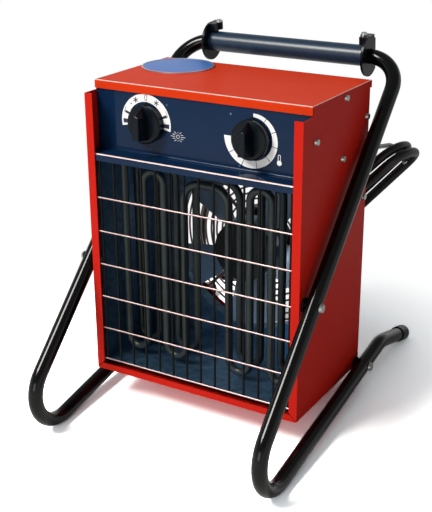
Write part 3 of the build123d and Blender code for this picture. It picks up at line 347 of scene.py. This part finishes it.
# Zinc plate on screws, bolts and spindles: dulled, faintly yellow and blue in turn.
dress(
    finish(
        "bright_zinc_plate", "#A9A99A", "#A2ABAC", (4.0, 3.0), {"Metallic": 1.0, "Roughness": 0.32},
    ),
    "casing_screws", "guard_screws", "motor_screws", "flange_screws", "stand_bolts", "stand_nuts",
    "element_nuts", "element_terminals", "switch_spindle", "thermostat_spindle",
    "thermostat_body", "motor_bearings", "motor_shaft", "handle_spigot", "cord_hook",
)

# Steatite and moulded housings in the compartment: matt cream ceramic, finely speckled.
dress(
    finish("cream_steatite", "#D8CFBA", "#E8E0CE", (0.7, 3.0), {"Roughness": 0.6}),
    "rotary_switch", "overheat_cutout", "terminal_block",
)

# Drawn copper tube for the thermostat's capillary, dulled in cloudy patches.
dress(finish(
    "drawn_copper", "#B87048", "#8E5A40", (5.0, 3.0), {"Metallic": 1.0, "Roughness": 0.35},
), "thermostat_capillary")

# ---------------------------------------------------------------- fan
# An external-rotor motor in black lacquer turns five pressed blades of plain rolled steel sheet.
dress(finish(
    "black_motor_lacquer", "#0A0C0D", "#121416", (1.5, 2.0),
    {"Roughness": 0.45, "Specular IOR Level": 0.35}, (1.5, 2.0, 0.2, 0.3),
), "motor_stator", "rotor_cup")
dress(finish(
    "rolled_steel_sheet", "#7F98B0", "#9BB0C4", (12.0, 3.0), {"Metallic": 0.6, "Roughness": 0.36},
), "fan_impeller")

# ---------------------------------------------------------------- heating elements
# Steel-sheathed tubes, annealed by use: grey-green oxide with darker bands, satin to the eye.
dress(finish(
    "oxidised_sheath", "#232A2B", "#3C4546", (14.0, 4.0),
    {"Metallic": 0.6, "Roughness": 0.38}, (0.9, 2.0, 0.15, 0.2),
), "heating_element_front", "heating_element_rear")

# ---------------------------------------------------------------- grille and guard
# The grille's rods and the rear guard are bright plated wire. Drawing leaves them faintly
# streaked, so they aren't quite mirrors. The grille's upright wires are the same plated wire, but
# they are painted black: a painted dark reflection, standing in for the dark room they mirror.
dress(finish(
    "bright_plated_wire", "#AE9694", "#C2ABA9", (2.5, 2.0), {"Metallic": 0.9, "Roughness": 0.36},
), "grille_rods", "fan_guard")
dress(finish(
    "wire_painted_dark_reflection", "#030404", "#070808", (3.0, 2.0),
    {"Roughness": 0.34, "Specular IOR Level": 0.15},
), "grille_wires")

# ---------------------------------------------------------------- knobs
# Moulded black thermoplastic with a fine spark-eroded grain, also on the stand's small fittings.
dress(
    finish(
        "black_moulded_plastic", "#04090F", "#081018", (0.5, 1.0),
        {"Roughness": 0.26, "IOR": 1.52, "Specular IOR Level": 0.16}, (0.5, 1.0, 0.1, 0.1),
    ),
    "switch_knob", "thermostat_knob", "handle_flanges", "tube_end_caps", "stand_spacers",
    "cord_gland",
)

# ---------------------------------------------------------------- stand and grip
# Two bent steel tubes in glossy black enamel. The grip is a satin navy-black plastic sleeve.
dress(finish(
    "black_tube_enamel", "#020303", "#060707", (40, 2.0),
    {"Roughness": 0.12, "IOR": 1.5, "Specular IOR Level": 0.26}, (2.5, 1.0, 0.06, 0.2),
), "stand_tube_left", "stand_tube_right")
dress(finish(
    "navy_satin_sleeve", "#132638", "#1D3449", (10, 3.0),
    {"Roughness": 0.32, "Specular IOR Level": 0.45}, (0.8, 1.0, 0.15, 0.1),
), "handle_grip")

# ---------------------------------------------------------------- cord
# Heavy black rubber cable, 10 mm thick. It leaves the gland, hangs beside the rear panel, is
# wound into a hank of two laps on the hook, and ends in a round plug.
cord_thick = 10.0
hank_middle = np.array([58.2, 190.0, 150.5])
hank_slope, hank_turn = np.radians(48.0), np.radians(-9.7)
hank_along = np.array([np.cos(hank_slope), 0.0, np.sin(hank_slope)])
hank_stack = np.array([
    np.sin(hank_slope) * np.cos(hank_turn),
    np.sin(hank_turn),
    -np.cos(hank_slope) * np.cos(hank_turn),
])
hank_side = np.cross(hank_stack, hank_along)


def in_hank(along, side, stack):
    """A place in the hank, in mm along its runs, across them and up its stack, as a box place."""
    return hank_middle + along * hank_along + side * hank_side + stack * hank_stack


# The hank's runs lie half a fold to each side of its middle. They bend round from turn_start on,
# and the second lap lies one pitch up the stack and reaches a little past the first.
half_fold, half_run, pitch, lead_in, lap_over, tail_start = 25.5, 100.0, 11.2, 35, 3, -24
turn_end = half_run + half_fold
turn_start = half_run - half_fold
cord_route = [
    # down from the gland and along the rear panel's left side
    (-60.0, 163.0, 288.0), (-60.0, 197.0, 288.0), (-67.0, 217.0, 268.0), (-78.0, 224.5, 237.0),
    (-91.5, 222.5, 203.0), (-104.0, 213.0, 168.0), (-112.5, 202.0, 136.0), (-114.5, 190.0, 106.0),
    (-107.5, 179.5, 79.5), (-90.5, 171.5, 61.0), (-67.0, 167.5, 54.0),
    # the first lap
    in_hank(-half_run - lead_in, half_fold, -pitch),
    in_hank(-half_run, half_fold, -pitch),
    in_hank(0, half_fold, -pitch / 2),
    in_hank(turn_start, half_fold, -0.1 * pitch),
    in_hank(turn_end, half_fold, 0),
    in_hank(turn_end, -half_fold, 0),
    in_hank(turn_start, -half_fold, 0),
    in_hank(-turn_start, -half_fold, 0),
    in_hank(-turn_end, -half_fold, 0),
    # the second lap
    in_hank(-turn_end, half_fold, 0),
    in_hank(-turn_start, half_fold, 0.1 * pitch),
    in_hank(0, half_fold, pitch / 2),
    in_hank(turn_start + lap_over, half_fold, 0.9 * pitch),
    in_hank(turn_end + lap_over, half_fold, pitch),
    in_hank(turn_end + lap_over, -half_fold, pitch),
    in_hank(turn_start + lap_over, -half_fold, pitch),
    in_hank(tail_start, -half_fold, pitch),
    # the tail, down into the plug
    (45.5, 213.0, 101.0), (43.0, 212.5, 77.5),
]
cord_points = on_box(cord_route)
cord_curve = bpy.data.curves.new("mains_cord", "CURVE")
cord_curve.dimensions = "3D"
cord_curve.bevel_depth = 1.0
cord_curve.bevel_resolution = 6
cord_curve.resolution_u = 24
cord_curve.use_fill_caps = True
cord_line = cord_curve.splines.new("NURBS")
cord_line.points.add(len(cord_points) - 1)
weights = np.ones((len(cord_points), 1))
cord_line.points.foreach_set("co", np.hstack([cord_points, weights]).ravel())
# Each point holds the cable's radius in metres, so that the curve's box is no wider than it is.
cord_line.points.foreach_set("radius", np.full(len(cord_points), cord_thick / 2000))
cord_line.order_u = 3
cord_line.use_endpoint_u = True
mains_cord = bpy.data.objects.new("mains_cord", cord_curve)
bpy.context.scene.collection.objects.link(mains_cord)
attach(mains_cord, "heater")

# Cable rubber: dull black with a faint sheen, a light bloom and a fine skin.
cable_rubber = finish(
    "black_cable_rubber", "#060807", "#0F1211", (9.0, 3.0),
    {"Roughness": 0.42, "Specular IOR Level": 0.35}, (0.9, 2.0, 0.2, 0.2),
)
cord_curve.materials.append(cable_rubber)
dress(cable_rubber, "plug_body")
dress(finish(
    "nickelled_brass", "#C9B98A", "#D8CDA8", (3.0, 2.0), {"Metallic": 1.0, "Roughness": 0.28},
), "plug_pins")
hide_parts("cord_lead", "cord_hank", "cord_tail")

# ---------------------------------------------------------------- stage
# A plain white floor that keeps the heater's shadow. The camera sees it brighter than the lamps
# alone would make it. Away from the heater it runs into the white backdrop, between two distances
# in metres, so that no horizon shows.
floor_half, fade_start, fade_end = 6, 0.17, 0.4
floor_white, tree, place = begin_finish("studio_floor")
seen = add(tree, "LightPath").outputs["Is Camera Ray"]
dull = add(tree, "BsdfDiffuse", {"Color": (0.8, 0.8, 0.8, 1)})
bright = add(tree, "BsdfDiffuse", {"Color": (2.2, 2.3, 2.3, 1)})
both = add(tree, "MixShader", {0: seen, 1: dull.outputs[0], 2: bright.outputs[0]})
backdrop = add(tree, "Emission", {"Color": (1, 1, 1, 1), "Strength": 1.0})
away = add(tree, "VectorMath", {0: place}, operation="LENGTH").outputs["Value"]
fade = add(tree, "MapRange", {
    "Value": away, "From Min": fade_start, "From Max": fade_end, "To Min": 0.0, "To Max": 1.0,
}, interpolation_type="SMOOTHSTEP")
fade = add(tree, "Math", {0: fade.outputs[0], 1: seen}, operation="MULTIPLY")
ground = add(tree, "MixShader", {0: fade.outputs[0], 1: both.outputs[0], 2: backdrop.outputs[0]})
add(tree, "OutputMaterial", {"Surface": ground.outputs[0]})
floor_mesh = bpy.data.meshes.new("floor")
floor_mesh.from_pydata([
    (-floor_half, -floor_half, 0), (floor_half, -floor_half, 0),
    (floor_half, floor_half, 0), (-floor_half, floor_half, 0),
], [], [(0, 1, 2, 3)])
floor_mesh.materials.append(floor_white)
floor = bpy.data.objects.new("floor", floor_mesh)
bpy.context.scene.collection.objects.link(floor)

# The camera and mirrors see a white backdrop that dims overhead. All else is lit by a weak sky
# that brightens towards the upper left front.
world = bpy.data.worlds.new("studio")
world.use_nodes = True
tree = world.node_tree
tree.nodes.clear()
rays = add(tree, "LightPath").outputs
shown = add(tree, "Math", {
    0: rays["Is Camera Ray"], 1: rays["Is Glossy Ray"],
}, operation="MAXIMUM")
way = add(tree, "TexCoord").outputs["Generated"]
height = add(tree, "SeparateXYZ", {0: way}).outputs["Z"]
overhead = add(tree, "MapRange", {
    "Value": height, "From Min": 0.05, "From Max": 0.55, "To Min": 1.0, "To Max": 0.25,
})
toward = add(tree, "VectorMath", {0: way, 1: (-0.57, -0.42, 0.70)}, operation="DOT_PRODUCT")
level = add(tree, "MapRange", {
    "Value": toward.outputs["Value"],
    "From Min": -0.3, "From Max": 1.0, "To Min": 0.03, "To Max": 0.62,
})
fill = add(tree, "Background", {"Color": (0.95, 0.97, 1.0, 1), "Strength": level.outputs[0]})
white = add(tree, "Background", {"Color": (1, 1, 1, 1), "Strength": overhead.outputs[0]})
both = add(tree, "MixShader", {0: shown.outputs[0], 1: fill.outputs[0], 2: white.outputs[0]})
add(tree, "OutputWorld", {"Surface": both.outputs[0]})
bpy.context.scene.world = world


def lamp(name, spot, size, watts, tint):
    """A soft lamp at a spot in metres, with a width and a height, that faces the heater."""
    light = bpy.data.lights.new(name, "AREA")
    light.shape = "RECTANGLE"
    light.size, light.size_y = size
    light.energy = watts
    light.color = tint
    holder = bpy.data.objects.new(name, light)
    holder.location = spot
    aim = Vector((0, 0, 0.2)) - Vector(spot)
    holder.rotation_euler = aim.to_track_quat("-Z", "Y").to_euler()
    bpy.context.scene.collection.objects.link(holder)


lamp("key", (-0.95, -1.35, 2.25), (0.9, 0.9), 76, (1.0, 0.96, 0.91))
lamp("front_fill", (0.1, -2.2, 0.7), (1.0, 0.7), 7, (0.95, 0.97, 1.0))

# The camera's lens in mm, its axes and its place in metres.
camera_data = bpy.data.cameras.new("camera")
camera_data.lens = 75.08
camera_data.sensor_width = 36.0
camera = bpy.data.objects.new("camera", camera_data)
view_right = Vector((0.858734, 0.508965, -0.059417))
view_up = Vector((-0.182040, 0.411401, 0.893091))
view = Matrix((view_right, view_up, view_right.cross(view_up))).transposed().to_4x4()
view.translation = (0.54425, -0.87511, 0.67993)
camera.matrix_world = view
bpy.context.scene.collection.objects.link(camera)
bpy.context.scene.camera = camera
bpy.context.scene.view_settings.view_transform = "Standard"
